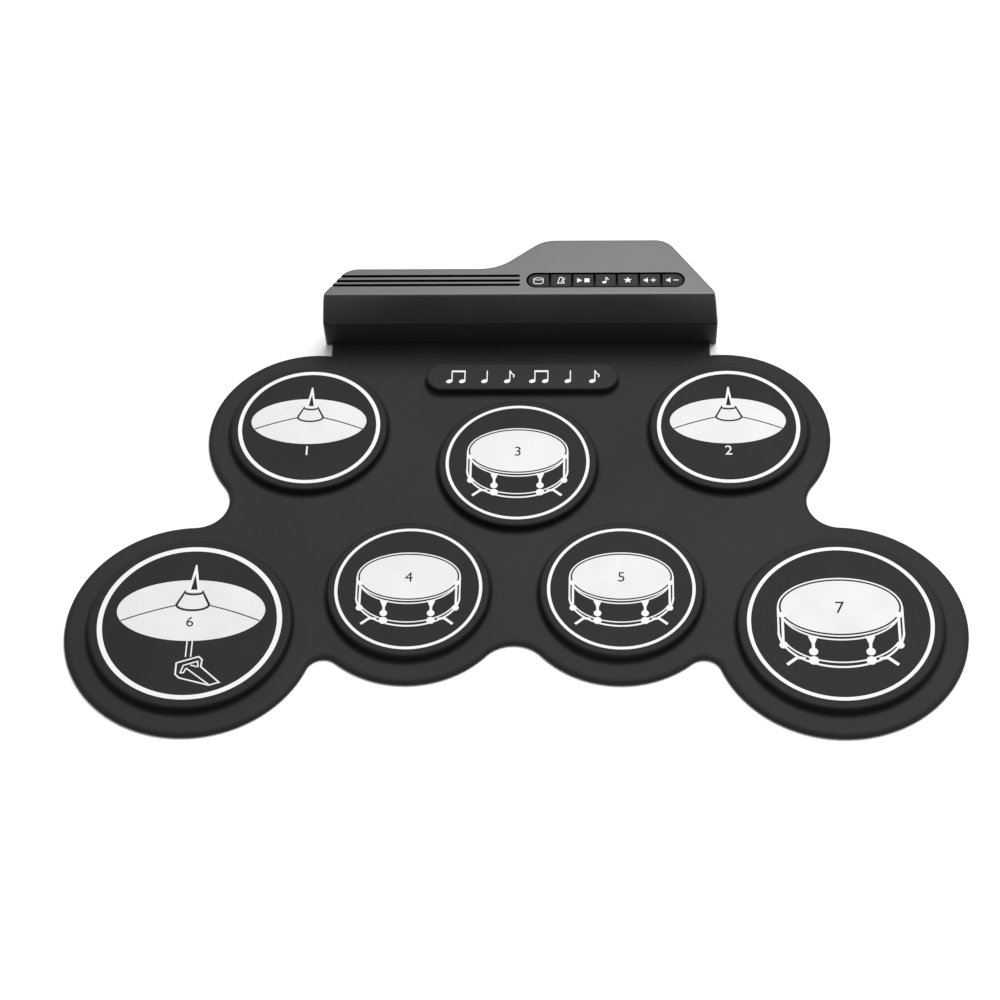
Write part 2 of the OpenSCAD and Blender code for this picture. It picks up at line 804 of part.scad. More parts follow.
// Paper cone, half-round surround and dust cap in one moving sheet
module speaker_cone() {
    color(KEY)
        along_y(speaker_x, 0, speaker_z)
            rotate_extrude()
                polygon([[0, speaker_face_y - 4.6], [3, speaker_face_y - 5], [4.2, speaker_face_y - 5.9],
                    [speaker_r - 4.6, speaker_face_y - 1.2], [speaker_r - 2.9, speaker_face_y - 0.9],
                    [speaker_r - 2.9, speaker_face_y - 0.5], [speaker_r - 5.2, speaker_face_y - 0.6],
                    [4.2, speaker_face_y - 5.2], [3, speaker_face_y - 4.2], [0, speaker_face_y - 3.6]]);
}

module speaker_magnet() {
    color(STEEL)
        along_y(speaker_x, speaker_face_y - 12.6, speaker_z)
            cylinder(r = 9, h = 5.15);
}

module speaker_wires() {
    color("#a33327")
        for (dz = [0, 2])
            wire([[speaker_x + 10.2, 112.6, speaker_z + dz], [-40, 110, 25 + dz], [-14, 109.2, 24 + dz],
                [-10 + 2 * dz, 109.4, main_board_top + 0.5]], 0.45);
}

// ---- Batteries ----

module battery_door() {
    color(SHELL_DARK) {
        box([bay_x[0] + GAP, bay_y[0] + GAP, floor_z], [bay_x[1] - GAP, bay_y[1] - GAP, floor_top - 0.2]);
        box([cell_mid.x - 6, bay_y[0] + 2, floor_z - 0.25], [cell_mid.x + 6, bay_y[0] + 3, floor_z + EPS]);
        box([cell_mid.x - 6, bay_y[0] + 4, floor_z - 0.25], [cell_mid.x + 6, bay_y[0] + 5, floor_z + EPS]);
    }
}

module batteries() {
    color("#8f9499")
        for (i = [-1:1])
            translate([cell_mid.x, cell_mid.y + i * cell_pitch, cell_z])
                rotate([0, i == 0 ? -90 : 90, 0]) {
                    translate([0, 0, -cell_l / 2])
                        cylinder(r = cell_r, h = cell_l - 1);
                    translate([0, 0, cell_l / 2 - 1 - EPS])
                        cylinder(r = 1.9, h = 1);
                }
}

// A plate at each end of each cell, with a stub spring where the flat end sits
module battery_contacts() {
    color(STEEL)
        for (i = [-1:1], side = [-1, 1])
            let (flat_end = side * (i == 0 ? -1 : 1) < 0, y = cell_mid.y + i * cell_pitch)
            let (wall_x = side < 0 ? bay_x[0] : bay_x[1]) {
                translate([wall_x - side * 0.3, y, cell_z])
                    cube([0.5, 8, 8], center = true);
                translate([wall_x - side * 0.5, y, cell_z])
                    rotate([0, -side * 90, 0])
                        cylinder(r1 = flat_end ? 3.4 : 1.6, r2 = flat_end ? 2 : 1.2, h = 3);
            }
}

module battery_wires() {
    color("#a33327")
        for (side = [0, 1])
            let (y = 116 + 2 * side)
                wire([[bay_x[1] + 1.9, y, 10], [80.5, y, 12], [80.5, y, 16.5],
                    [77, y, main_board_z - 0.5]], 0.45);
}

// ---- The parts ----

mat_top_skin();
mat_base_sheet();
sensor_film();
label_bar();
pad_crash();
pad_ride();
pad_high_tom();
pad_snare();
pad_mid_tom();
pad_hi_hat();
pad_floor_tom();
foam_crash();
foam_ride();
foam_high_tom();
foam_snare();
foam_mid_tom();
foam_hi_hat();
foam_floor_tom();
mat_neck();
film_tail();
neck_clamp_bar();
clamp_screws();
top_case();
bottom_case();
case_screws();
rubber_feet();
key_kit();
key_click();
key_play_stop();
key_demo();
key_special();
key_volume_up();
key_volume_down();
key_membrane();
key_domes();
key_board();
key_board_screws();
key_ribbon();
main_board();
main_board_screws();
sound_chip();
board_capacitors();
flex_connector();
phones_jack();
aux_jack();
pedal_jacks();
usb_socket();
switch_body();
switch_slider();
speaker_basket();
speaker_cone();
speaker_magnet();
speaker_wires();
battery_door();
batteries();
battery_contacts();
battery_wires();
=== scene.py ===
import json
import math
from math import acos, asin, atan2, cos, radians, sin, sqrt, tan, tau

import bmesh
import bpy
from mathutils import Matrix, Vector
from mathutils.geometry import tessellate_polygon


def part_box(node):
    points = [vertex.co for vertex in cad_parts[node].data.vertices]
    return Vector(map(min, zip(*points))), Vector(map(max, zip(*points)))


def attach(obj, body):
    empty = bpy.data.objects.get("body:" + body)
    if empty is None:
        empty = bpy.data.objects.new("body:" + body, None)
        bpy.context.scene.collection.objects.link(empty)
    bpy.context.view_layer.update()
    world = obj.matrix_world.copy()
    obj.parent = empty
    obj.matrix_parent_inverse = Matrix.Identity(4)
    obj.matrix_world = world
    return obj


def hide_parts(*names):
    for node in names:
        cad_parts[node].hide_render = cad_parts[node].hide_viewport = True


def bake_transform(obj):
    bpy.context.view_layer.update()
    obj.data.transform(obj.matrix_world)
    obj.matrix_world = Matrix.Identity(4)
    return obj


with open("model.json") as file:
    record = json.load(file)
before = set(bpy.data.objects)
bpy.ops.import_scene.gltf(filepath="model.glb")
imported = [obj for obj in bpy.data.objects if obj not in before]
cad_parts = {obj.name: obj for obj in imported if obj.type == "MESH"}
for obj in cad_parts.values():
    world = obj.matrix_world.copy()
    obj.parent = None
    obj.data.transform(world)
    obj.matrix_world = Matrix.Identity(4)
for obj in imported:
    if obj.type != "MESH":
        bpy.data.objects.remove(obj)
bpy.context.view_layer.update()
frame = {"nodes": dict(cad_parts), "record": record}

MM = 0.001
nodes = frame["nodes"]

PADS = ["crash", "ride", "high_tom", "snare", "mid_tom", "hi_hat", "floor_tom"]
KEYS = ["kit", "click", "play_stop", "demo", "special", "volume_up", "volume_down"]


def box_mm(node):
    low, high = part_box(node)
    return [v / MM for v in low], [v / MM for v in high]


def middle(low, high):
    return ((low[0] + high[0]) / 2, (low[1] + high[1]) / 2)


# ---------------------------------------------------------------- materials

def new_material(name):
    m = bpy.data.materials.new(name)
    m.use_nodes = True
    return m, m.node_tree.nodes, m.node_tree.links, m.node_tree.nodes["Principled BSDF"]


def coords(n, links, scale=(1, 1, 1)):
    place = n.new("ShaderNodeTexCoord")
    spread = n.new("ShaderNodeMapping")
    spread.inputs["Scale"].default_value = scale
    links.new(place.outputs["Object"], spread.inputs["Vector"])
    return spread.outputs["Vector"]


def noise(n, links, vector, scale, detail=3.0, rough=0.5):
    t = n.new("ShaderNodeTexNoise")
    t.inputs["Scale"].default_value = scale
    t.inputs["Detail"].default_value = detail
    t.inputs["Roughness"].default_value = rough
    links.new(vector, t.inputs["Vector"])
    return t.outputs["Fac"]


def spread_to(n, links, value, low, high, a=0.3, b=0.7):
    r = n.new("ShaderNodeMapRange")
    r.inputs["From Min"].default_value = a
    r.inputs["From Max"].default_value = b
    r.inputs["To Min"].default_value = low
    r.inputs["To Max"].default_value = high
    links.new(value, r.inputs["Value"])
    return r.outputs["Result"]


def two_tone(n, links, fac, a, b, low=0.35, high=0.65):
    ramp = n.new("ShaderNodeValToRGB")
    ramp.color_ramp.elements[0].position = low
    ramp.color_ramp.elements[0].color = (*a, 1)
    ramp.color_ramp.elements[1].position = high
    ramp.color_ramp.elements[1].color = (*b, 1)
    links.new(fac, ramp.inputs["Fac"])
    return ramp.outputs["Color"]


def bump(n, links, height, strength, distance, below=None):
    b = n.new("ShaderNodeBump")
    b.inputs["Strength"].default_value = strength
    b.inputs["Distance"].default_value = distance
    links.new(height, b.inputs["Height"])
    if below is not None:
        links.new(below, b.inputs["Normal"])
    return b.outputs["Normal"]


def surface(name, dark, light, rough, grain, grain_depth, patch=12.0, wave=0.0, specular=0.5,
            metallic=0.0, coat=0.0, stretch=(1, 1, 1)):
    """A moulded surface: slow colour patches, a fine grain and, if wanted, a slow waviness."""
    m, n, links, bsdf = new_material(name)
    at = coords(n, links, stretch)
    slow = noise(n, links, at, patch, 3.0, 0.55)
    fine = noise(n, links, at, grain, 2.0, 0.6)
    links.new(two_tone(n, links, slow, dark, light), bsdf.inputs["Base Color"])
    links.new(spread_to(n, links, fine, rough[0], rough[1]), bsdf.inputs["Roughness"])
    normal = None
    if wave:
        normal = bump(n, links, noise(n, links, at, 22.0, 2.0), 1.0, wave)
    links.new(bump(n, links, fine, 0.6, grain_depth, normal), bsdf.inputs["Normal"])
    bsdf.inputs["Specular IOR Level"].default_value = specular
    bsdf.inputs["Metallic"].default_value = metallic
    bsdf.inputs["Coat Weight"].default_value = coat
    return m


def grey(v):
    return (v, v, v * 1.02)


SILICONE = surface("silicone_black", grey(0.0110), grey(0.0150), (0.66, 0.78), 1700, 0.00004, wave=0.0002,
                   specular=0.28)
PAD_SILICONE = surface("silicone_pad", grey(0.0075), grey(0.0100), (0.62, 0.74), 1900, 0.00004, patch=25,
                       specular=0.23)
SHELL_TOP = surface("shell_satin", grey(0.044), grey(0.054), (0.38, 0.45), 2600, 0.00004, patch=9,
                    specular=0.8)
SHELL_LOW = surface("shell_textured", grey(0.030), grey(0.036), (0.45, 0.58), 2200, 0.00006, patch=14)
KEY_RUBBER = surface("key_soft", grey(0.016), grey(0.021), (0.66, 0.78), 2600, 0.00006, patch=60,
                     specular=0.3)
# Near-black on the cut walls and floors of the key window and the three grooves: painted shade, the shadow
# inside these slots painted into the colour instead of the shell's own plastic.
SLOT_PAINTED_SHADE = surface("slot_painted_shade", grey(0.002), grey(0.003), (0.85, 0.95), 2400, 0.00002, patch=40,
                       specular=0.05)
BLACK_PLASTIC = surface("plastic_black", grey(0.012), grey(0.016), (0.3, 0.4), 2400, 0.00002, patch=40)
RUBBER = surface("rubber_feet", grey(0.014), grey(0.020), (0.65, 0.8), 1500, 0.00006, patch=40)
INNER_RUBBER = surface("rubber_inner", grey(0.05), grey(0.065), (0.6, 0.75), 1500, 0.00005, patch=40)
INK = surface("ink_white", grey(0.70), grey(0.74), (0.45, 0.58), 2400, 0.000015, patch=60,
              specular=0.3)
INK_FILL = surface("ink_fill", grey(0.63), grey(0.67), (0.45, 0.58), 2400, 0.000015, patch=45,
                   specular=0.3)
STEEL = surface("steel_plated", (0.55, 0.56, 0.58), (0.68, 0.69, 0.71), (0.22, 0.34), 900, 0.00001,
                metallic=1.0, stretch=(1, 8, 1))
BOARD = surface("solder_mask", (0.012, 0.11, 0.045), (0.018, 0.15, 0.06), (0.25, 0.38), 1200, 0.00002,
                patch=80, coat=0.4)
FILM = surface("film_amber", (0.42, 0.20, 0.05), (0.50, 0.26, 0.08), (0.2, 0.32), 900, 0.00001,
               patch=70, coat=0.5)
FOAM = surface("foam_grey", grey(0.10), grey(0.17), (0.85, 0.95), 1400, 0.0002, patch=300)
WIRE = surface("wire_red", (0.35, 0.02, 0.015), (0.42, 0.03, 0.02), (0.3, 0.42), 2000, 0.00001, patch=60)
CELL = surface("cell_jacket", (0.16, 0.17, 0.19), (0.24, 0.25, 0.27), (0.25, 0.36), 900, 0.00001,
               patch=50, metallic=0.6, coat=0.3)
PAPER = surface("cone_paper", grey(0.02), grey(0.035), (0.8, 0.9), 1500, 0.0001, patch=90)


# ---------------------------------------------------------------- mesh helpers

def add_mesh(name, verts, faces, materials, face_materials=None, crease=35, scale=MM):
    me = bpy.data.meshes.new(name)
    me.from_pydata([Vector(v) * scale for v in verts], [], faces)
    for m in materials:
        me.materials.append(m)
    if face_materials:
        for p, i in zip(me.polygons, face_materials):
            p.material_index = i
    bm = bmesh.new()
    bm.from_mesh(me)
    bmesh.ops.recalc_face_normals(bm, faces=bm.faces)
    bm.to_mesh(me)
    bm.free()
    me.shade_smooth()
    me.set_sharp_from_angle(angle=radians(crease))
    o = bpy.data.objects.new(name, me)
    bpy.context.scene.collection.objects.link(o)
    return o


def ring_faces(a, b, n, closed=True):
    """Quads between two rings of n points that start at a and b."""
    last = n if closed else n - 1
    return [(a + i, a + (i + 1) % n, b + (i + 1) % n, b + i) for i in range(last)]


def filled(loops):
    """Triangles that fill the first loop and leave the others open, as indices into all the points."""
    flat = [[Vector((x, y, 0)) for x, y in loop] for loop in loops]
    return [tuple(t) for t in tessellate_polygon(flat)]


def circle(cx, cy, r, n):
    return [(cx + r * cos(tau * i / n), cy + r * sin(tau * i / n)) for i in range(n)]


def arc(c, r, start, end, way, steps):
    sweep = way * ((way * (end - start)) % 360)
    return [(c[0] + r * cos(radians(start + sweep * i / steps)),
             c[1] + r * sin(radians(start + sweep * i / steps))) for i in range(steps + 1)]


def aim(a, b):
    return math.degrees(atan2(b[1] - a[1], b[0] - a[0]))


def hollow(a, ra, b, rb, r, side):
    """Centre of a circle that touches two others from outside."""
    vx, vy = b[0] - a[0], b[1] - a[1]
    d = math.hypot(vx, vy)
    da, db = ra + r, rb + r
    along = (da * da - db * db + d * d) / (2 * d)
    off = sqrt(da * da - along * along)
    return (a[0] + vx * along / d - side * off * vy / d, a[1] + vy * along / d + side * off * vx / d)


def stadium(cx, cy, length, width, inset=0.0, n=32):
    """A bar with round ends. The number of points doesn't depend on the inset."""
    r = width / 2
    x = length / 2 - r
    right = arc((cx + x, cy), r - inset, -90, 90, 1, n)
    left = arc((cx - x, cy), r - inset, 90, 270, 1, n)
    return right + left


# ---------------------------------------------------------------- places and sizes, in mm

pad_box = {p: box_mm("pad_" + p) for p in PADS}
pad_at = {p: middle(*pad_box[p]) for p in PADS}
pad_r = {p: (pad_box[p][1][0] - pad_box[p][0][0]) / 2 for p in PADS}
pad_top = pad_box["crash"][1][2]
mat_t = box_mm("mat_top_skin")[1][2]
label_box = box_mm("label_bar")
label_at = middle(*label_box)
label_l = label_box[1][0] - label_box[0][0]
label_w = label_box[1][1] - label_box[0][1]
large_lobe_r = 63.52
snare_lobe_r = 53.4
crash_lobe_r = 55.0
neck_half = 100.8
floor_tom = pad_at["floor_tom"]
mid_tom = pad_at["mid_tom"]
snare = pad_at["snare"]
crash_lobe = (pad_at["ride"][0] - 2, pad_at["ride"][1] - 1.2)
side_r, front_r, middle_r = 17, 8.9, 18.3
side_hollow = hollow(floor_tom, large_lobe_r, crash_lobe, crash_lobe_r, side_r, -1)
front_hollow = hollow(mid_tom, snare_lobe_r, floor_tom, large_lobe_r, front_r, -1)
middle_hollow = hollow(snare, snare_lobe_r, mid_tom, snare_lobe_r, middle_r, -1)
neck_end = 105.9
bend_rows = [97 + 0.5 * i for i in range(13)]
neck_rows = [96.6] + bend_rows + [103.6, 104.4, 105.2, neck_end]
FOOT = 2.2
RECESS = 0.4
foot_sunk = 0.35
pad_edge, label_edge = 1.3, 1.1


def half_outline(i):
    """Right half of the mat's outline, moved inwards by i, from the front middle to the neck's end."""
    lobe_end = 90 + math.degrees(asin((crash_lobe[0] - neck_half + i) / (crash_lobe_r - i)))
    arcs = [
        arc(middle_hollow, middle_r + i, 90, aim(middle_hollow, mid_tom), -1, 12),
        arc(mid_tom, snare_lobe_r - i, aim(mid_tom, middle_hollow), aim(mid_tom, front_hollow), 1, 56),
        arc(front_hollow, front_r + i, aim(front_hollow, mid_tom), aim(front_hollow, floor_tom), -1, 20),
        arc(floor_tom, large_lobe_r - i, aim(floor_tom, front_hollow), aim(floor_tom, side_hollow), 1, 96),
        arc(side_hollow, side_r + i, aim(side_hollow, floor_tom), aim(side_hollow, crash_lobe), -1, 28)]
    points = [q for a in arcs for q in a[:-1]]
    points += arc(crash_lobe, crash_lobe_r - i, aim(crash_lobe, side_hollow), lobe_end, 1, 72)
    return points + [(neck_half - i, y) for y in neck_rows]


def outline(i):
    right = half_outline(i)
    return right + [(-x, y) for x, y in reversed(right[1:])]


# ---------------------------------------------------------------- the mat

rim = ([(0.7, 0.0), (0.25, 0.12), (0.0, 0.45)]
       + [(3.4 * (1 - cos(a)), 0.8 + (mat_t - 0.8) * sin(a)) for a in [radians(d) for d in range(0, 91, 9)]]
       + [(4.1, mat_t)])
SEG = 144
verts = []
for inset, z in rim:
    verts += [(x, y, z) for x, y in outline(inset)]
ring_n = len(outline(0))
faces = []
for k in range(len(rim) - 1):
    faces += ring_faces(k * ring_n, (k + 1) * ring_n, ring_n)
half_n = len(half_outline(0))
rows = len(neck_rows)


def cap(start, holes):
    """Closes a ring of the mat: one filled area up to the first row of the neck, then strips across it."""
    first = half_n - rows
    right = list(range(start, start + first + 1))
    left = list(range(start + ring_n - first, start + ring_n))
    twin = [start] + list(range(start + ring_n - 1, start + half_n - 1, -1))
    edge = right + [twin[i] for i in range(first, 0, -1)]
    loops = [[verts[i][:2] for i in edge]] + [[verts[i][:2] for i in h] for h in holes]
    index = edge + [i for h in holes for i in h]
    out = [tuple(index[i] for i in t) for t in filled(loops)]
    for j in range(first, half_n - 1):
        out.append((start + j, start + j + 1, twin[j + 1], twin[j]))
    return out


hole_rings = []
for p in PADS:
    hole_rings.append([len(verts) + i for i in range(SEG)])
    verts += [(x, y, mat_t) for x, y in circle(*pad_at[p], pad_r[p] + FOOT, SEG)]
bar = stadium(*label_at, label_l, label_w, -FOOT)
hole_rings.append([len(verts) + i for i in range(len(bar))])
verts += [(x, y, mat_t) for x, y in bar]
faces += cap(0, [])
faces += cap((len(rim) - 1) * ring_n, hole_rings)
for ring in hole_rings:
    low = len(verts)
    verts += [(verts[i][0], verts[i][1], mat_t - RECESS) for i in ring]
    n = len(ring)
    faces += [(ring[i], ring[(i + 1) % n], low + (i + 1) % n, low + i) for i in range(n)]
    faces.append(tuple(range(low, low + n)))
mat = add_mesh("silicone_mat_sheet", verts, faces, [SILICONE])
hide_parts("mat_top_skin", "mat_base_sheet", "mat_neck")
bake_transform(mat)


# ---------------------------------------------------------------- pads and the label bar

def raised(rise, edge):
    """Profile of a raised pad from its foot to its top: (outwards from the pad's side, height)."""
    turn = [radians(d) for d in range(10, 91, 10)]
    foot = [(FOOT, mat_t - foot_sunk), (FOOT, mat_t)]
    foot += [(FOOT - (FOOT - 0.2) * sin(a), mat_t + 1.7 * (1 - cos(a))) for a in turn]
    top = mat_t + rise
    side = [(0.05, top - edge - 0.4), (0.0, top - edge)]
    crown = [(-edge * (1 - cos(a)), top - edge + edge * sin(a)) for a in turn]
    return foot + side + crown + [(-edge - 0.6, top)]


profile = raised(pad_top - mat_t, pad_edge)
for p in PADS:
    verts, faces = [], []
    for out, z in profile:
        verts += [(x, y, z) for x, y in circle(*pad_at[p], pad_r[p] + out, SEG)]
    for k in range(len(profile) - 1):
        faces += ring_faces(k * SEG, (k + 1) * SEG, SEG)
    faces.append(tuple(range(SEG - 1, -1, -1)))
    inner = len(verts)
    verts += [(x, y, pad_top) for x, y in circle(*pad_at[p], pad_r[p] * 0.5, SEG)]
    faces += ring_faces(inner - SEG, inner, SEG)
    faces.append(tuple(range(inner, inner + SEG)))
    pad = add_mesh("silicone_pad_" + p, verts, faces, [PAD_SILICONE])
    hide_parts("pad_" + p, "foam_" + p)
    x, y = pad_at[p]
    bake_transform(pad)

verts, faces = [], []
label_rise = label_box[1][2] - mat_t
for out, z in raised(label_rise, label_edge):
    verts += [(x, y, z) for x, y in stadium(*label_at, label_l, label_w, -out)]
n = len(bar)
count = len(verts) // n
for k in range(count - 1):
    faces += ring_faces(k * n, (k + 1) * n, n)
faces.append(tuple(range(n - 1, -1, -1)))
faces.append(tuple(range((count - 1) * n, count * n)))
label = add_mesh("label_bar_raised", verts, faces, [SILICONE])
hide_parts("label_bar")
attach(label, "mat")


# ---------------------------------------------------------------- printed ink

INK_T = 0.04


class Print:
    """Flat ink shapes that are collected in one mesh. Each layer lies on the one below it."""

    def __init__(self):
        self.verts, self.faces, self.mats = [], [], []

    def shape(self, loops, ink, layer=0):
        base = len(self.verts)
        flat = [q for loop in loops for q in loop]
        n = len(flat)
        low, high = layer * INK_T, (layer + 1) * INK_T
        self.verts += [(x, y, low) for x, y in flat] + [(x, y, high) for x, y in flat]
        for t in filled(loops):
            self.faces.append(tuple(base + n + i for i in t))
            self.faces.append(tuple(base + i for i in reversed(t)))
            self.mats += [ink, ink]
        at = base
        for loop in loops:
            m = len(loop)
            for i in range(m):
                self.faces.append((at + i, at + (i + 1) % m, at + n + (i + 1) % m, at + n + i))
                self.mats.append(ink)
            at += m

    def line(self, points, width, ink, layer=0, closed=False):
        """A line of one width through the points, with mitred corners."""
        n = len(points)
        left, right = [], []
        for i, (x, y) in enumerate(points):
            a = points[i - 1] if i or closed else None
            b = points[(i + 1) % n] if i < n - 1 or closed else None
            dirs = []
            if a:
                dirs.append(((x - a[0]), (y - a[1])))
            if b:
                dirs.append(((b[0] - x), (b[1] - y)))
            unit = [(u / math.hypot(u, v), v / math.hypot(u, v)) for u, v in dirs]
            tx, ty = sum(u for u, v in unit), sum(v for u, v in unit)
            size = math.hypot(tx, ty)
            tx, ty = tx / size, ty / size
            reach = width / 2 / max(0.4, unit[0][0] * tx + unit[0][1] * ty)
            left.append((x - ty * reach, y + tx * reach))
            right.append((x + ty * reach, y - tx * reach))
        if closed:
            self.shape([left, right], ink, layer)
        else:
            self.shape([left + right[::-1]], ink, layer)

    def ring(self, cx, cy, a, b, width, ink, layer=0, n=96):
        self.shape([ellipse(cx, cy, a, b, n), ellipse(cx, cy, a - width, b - width, n)], ink, layer)

    def dot(self, cx, cy, r, ink, layer=0):
        self.shape([circle(cx, cy, r, 24)], ink, layer)

    def number(self, text, cx, cy, size, ink, layer=0):
        font = bpy.data.curves.new("number", "FONT")
        font.body = text
        font.size = size
        font.align_x = "CENTER"
        font.align_y = "CENTER"
        font.extrude = INK_T / 2
        o = bpy.data.objects.new("number", font)
        bpy.context.scene.collection.objects.link(o)
        bpy.context.view_layer.update()
        me = bpy.data.meshes.new_from_object(o.evaluated_get(bpy.context.evaluated_depsgraph_get()))
        base = len(self.verts)
        xs = [v.co.x for v in me.vertices]
        ys = [v.co.y for v in me.vertices]
        mx, my = (min(xs) + max(xs)) / 2, (min(ys) + max(ys)) / 2
        mz = INK_T / 2 + layer * INK_T
        self.verts += [(v.co.x - mx + cx, v.co.y - my + cy, v.co.z + mz) for v in me.vertices]
        for q in me.polygons:
            self.faces.append(tuple(base + i for i in q.vertices))
            self.mats.append(ink)
        bpy.data.objects.remove(o)

    def build(self, name, x, y, z, body, slot):
        verts = [(vx + x, vy + y, vz + z) for vx, vy, vz in self.verts]
        o = add_mesh(name, verts, self.faces, [INK, INK_FILL, PAD_SILICONE], self.mats, crease=20)
        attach(o, body)
        return o


WHITE, FILL, DARK = 0, 1, 2


def ellipse(cx, cy, a, b, n=96, start=0, end=360):
    steps = n if end - start >= 360 else n + 1
    return [(cx + a * cos(radians(start + (end - start) * i / n)),
             cy + b * sin(radians(start + (end - start) * i / n))) for i in range(steps)]


def curve(a, b, bow, n=12):
    """Points from a to b, bowed upwards by bow in the middle."""
    return [(a[0] + (b[0] - a[0]) * t, a[1] + (b[1] - a[1]) * t + bow * 4 * t * (1 - t))
            for t in [i / n for i in range(n + 1)]]


def cymbal(pr, cx, cy, s, number, on_plate):
    """A cymbal seen from above its edge, with its bell and the point of its stand."""
    a, b = 30.1 * s, 15.0 * s
    plate = ellipse(cx, cy, a, b, 120)
    pr.shape([plate], FILL)
    number_x = cx
    cx += 0.6
    bell_w, bell_t = 6.6 * s, 3.7 * s
    foot, neck = cy + 2.9 * s, cy + 9.0 * s
    for side in (-1, 1):
        rim = (number_x + side * a * 0.935, cy - 5.1 * s)
        pr.line(curve(rim, (cx + side * bell_w, foot - 0.4 * s), 0.5 * s), 0.62, DARK, 1)
    bell = [(cx - bell_t, neck), (cx - bell_w, foot)]
    bell += ellipse(cx, foot - 0.2, bell_w, 2.7 * s, 24, 190, 350)
    bell += [(cx + bell_w, foot), (cx + bell_t, neck)]
    bell += ellipse(cx, neck, bell_t, 1.1 * s, 16, 350, 190)
    pr.line(bell, 0.95 * s, DARK, 2, closed=True)
    tip = cy + 22.6 * s
    low, wide = neck - 0.2, 2.5 * s
    pr.shape([[(cx - wide, low), (cx + wide, low), (cx + 0.35, tip), (cx - 0.35, tip)]], WHITE, 3)
    low, wide = neck + 1.2 * s, 1.35 * s
    pr.shape([[(cx - wide, low), (cx + wide, low), (cx, tip - 4.6 * s)]], DARK, 4)
    if on_plate:
        pr.number(number, number_x, cy - 5.6 * s, 8.4, DARK, 1)
    else:
        pr.number(number, number_x, cy - 19.4 * s, 8.6, WHITE)


def pedal(pr, x, y):
    """A hi-hat stand's rod and its foot pedal."""
    for dx in (-1.3, 1.3):
        pr.line([(x + dx, y), (x + dx - 0.1, y - 9.6)], 0.65, WHITE)
    heel = [(x - 5.6, y - 13.2), (x + 5.2, y - 9.4), (x + 7.0, y - 11.2), (x + 6.7, y - 15.4),
            (x + 16.4, y - 24.6), (x + 11.4, y - 26.3), (x - 3.6, y - 22.0), (x - 5.6, y - 20.0)]
    pr.line(heel, 0.8, WHITE, closed=True)
    pr.line([(x + 5.4, y - 15.6), (x + 4.9, y - 12.2), (x - 2.0, y - 14.6), (x - 3.2, y - 19.0),
             (x - 1.6, y - 19.0), (x - 0.6, y - 16.6)], 0.7, WHITE)
    pr.line([(x - 0.6, y - 16.2), (x + 11.2, y - 25.8)], 0.7, WHITE)
    pr.line([(x + 1.4, y - 14.4), (x + 5.4, y - 15.6)], 0.7, WHITE)


def drum(pr, cx, cy, s, number):
    """A drum on short feet: a head with a hoop, posts with lugs, and a lower hoop."""
    def at(x, y):
        return (cx + x * s, cy + y * s)

    head = cy + 7.1 * s
    pr.ring(cx, head, 26.1 * s, 15.0 * s, 0.7 * s, WHITE, n=120)
    pr.shape([ellipse(cx, head, 24.6 * s, 13.5 * s, 120)], FILL)
    pr.line(ellipse(cx, cy + 5.0 * s, 24.6 * s, 14.4 * s, 60, 198, 342), 0.75 * s, WHITE, 1)
    pr.line(ellipse(cx, cy - 5.2 * s, 24.9 * s, 15.5 * s, 60, 200, 340), 0.7 * s, WHITE)
    pr.line(ellipse(cx, cy - 5.2 * s, 25.9 * s, 17.8 * s, 72, 180, 360), 0.95 * s, WHITE)
    for side in (-1, 1):
        pr.line([at(side * 25.85, 7.2), at(side * 25.85, -5.4)], 0.8 * s, WHITE, 2)
        pr.line([at(side * 24.1, 3.6), at(side * 24.1, -12.1)], 1.1 * s, WHITE, 2)
        pr.dot(*at(side * 24.2, 3.1), 1.5 * s, WHITE, 3)
        pr.dot(*at(side * 24.0, -12.1), 1.75 * s, WHITE, 3)
        lug = side * 11.8
        pr.shape([[at(lug - 2.1, -7.6), at(lug - 0.65, -11.4), at(lug - 0.65, -14.6),
                   at(lug + 0.65, -14.6), at(lug + 0.65, -11.4), at(lug + 2.1, -7.6)]], WHITE, 2)
        pr.dot(*at(lug, -15.4), 1.9 * s, WHITE, 3)
        pr.dot(*at(lug, -19.8), 2.1 * s, WHITE, 3)
        pr.line([at(side * 15.2, -18.9), at(side * 18.6, -18.3), at(side * 22.9, -21.9)], 1.4 * s, WHITE, 2)
    pr.number(number, cx, head - 0.2, 8.4 * s, DARK, 1)


large_pad_r = 45
large_ring_r, small_ring_r = 46.2, 37.1
large_drum = 1.19
RING_WIDTH = {"crash": 2.05, "ride": 2.05, "high_tom": 1.6, "snare": 1.6, "mid_tom": 1.6,
              "hi_hat": 2.6, "floor_tom": 2.0}
for i, p in enumerate(PADS):
    large = pad_r[p] > large_pad_r
    s = large_drum if large else 1.0
    ring_r = large_ring_r if large else small_ring_r
    pr = Print()
    pr.ring(0, 0, ring_r, ring_r, RING_WIDTH[p], WHITE, n=192 if large else 160)
    if p in ("crash", "ride"):
        cymbal(pr, -0.3, 3.6, 1.0, str(i + 1), False)
    elif p == "hi_hat":
        cymbal(pr, 0.2, 7.1, 1.235, str(i + 1), True)
        pedal(pr, 1.1, -11.4)
    else:
        drum(pr, 0, 0.8 if large else 0, s, str(i + 1))
    pr.build("print_" + p, *pad_at[p], pad_top, "pad_" + p, "silicone_pad")


def note(pr, x, y, h, flag):
    """A plain musical note, with or without a tail."""
    a, b, tilt = 1.75, 1.2, 0.35
    turn = [tau * k / 28 for k in range(28)]
    pr.shape([[(x + a * cos(t) * cos(tilt) - b * sin(t) * sin(tilt),
                y + a * cos(t) * sin(tilt) + b * sin(t) * cos(tilt)) for t in turn]], WHITE)
    pr.line([(x + 1.35, y + 0.3), (x + 1.35, y + h)], 0.6, WHITE, 1)
    if flag:
        tail = [(1.35, 0), (2.2, -1.9), (3.5, -3.0), (3.3, -4.6)]
        pr.line([(x + dx, y + h + dy) for dx, dy in tail], 0.7, WHITE)


